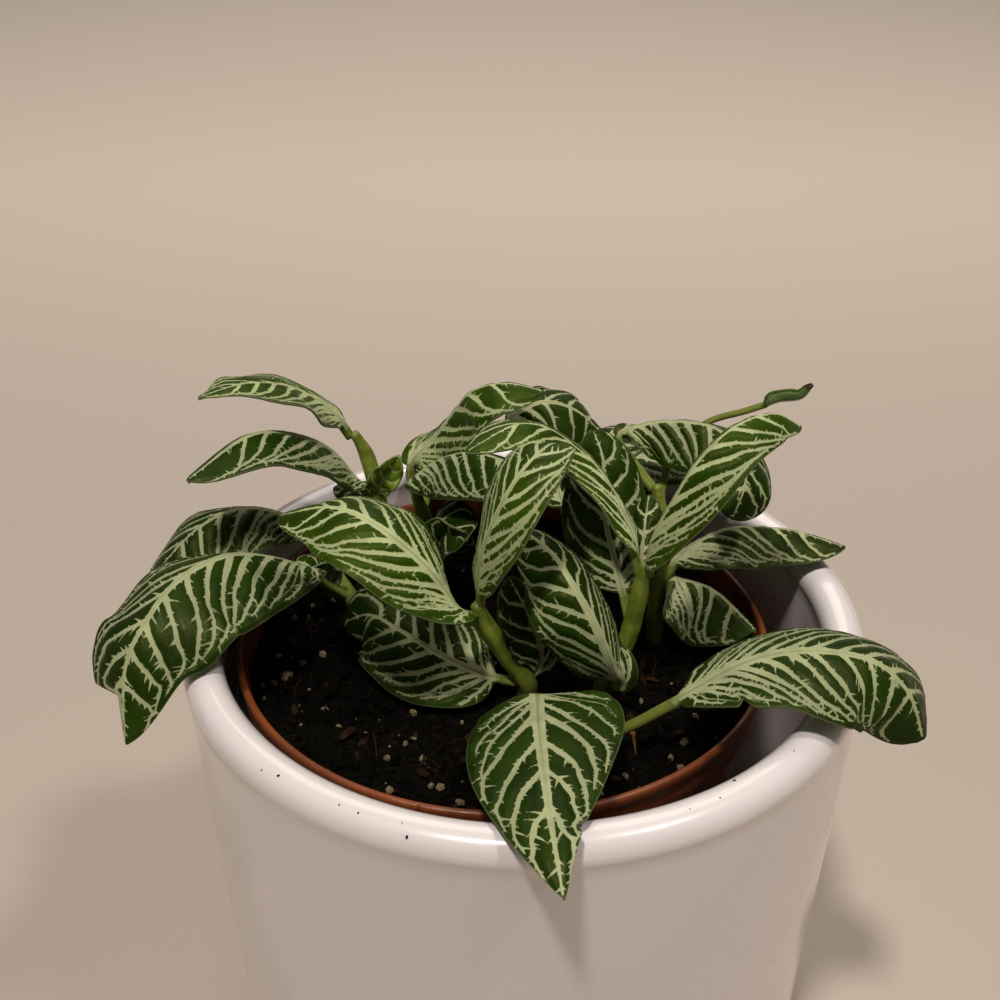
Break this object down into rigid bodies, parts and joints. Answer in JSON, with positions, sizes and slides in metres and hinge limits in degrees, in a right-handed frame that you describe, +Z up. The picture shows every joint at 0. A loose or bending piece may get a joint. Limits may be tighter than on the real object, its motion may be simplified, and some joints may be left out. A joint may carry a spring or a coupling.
{
  "type": "potted nerve plant",
  "caption": "Small house plant with white-veined dark green leaves on upright leafy stems, in a plastic nursery pot inside a round glazed cover pot.",
  "frame": {"origin": "centre of the cover pot's flat base, on the surface it stands on", "axes": "+Z up, -Y towards the viewer of the picture, +X to that viewer's right"},
  "size_m": [0.17, 0.16, 0.1737],
  "materials": {
    "glaze": "glossy white glaze",
    "nursery_plastic": "terracotta-coloured moulded plastic",
    "peat": "moist potting soil",
    "foliage": "satin dark green leaf with cream veins"
  },
  "bodies": {
    "root": {"cover_pot": "glaze", "nursery_pot": "nursery_plastic", "soil": "peat", "stem_left": "foliage", "stem_back_left": "foliage", "stem_back": "foliage", "stem_front": "foliage", "stem_front_low": "foliage", "stem_centre": "foliage", "stem_right": "foliage", "stem_rear": "foliage"}
  },
  "joints": []
}
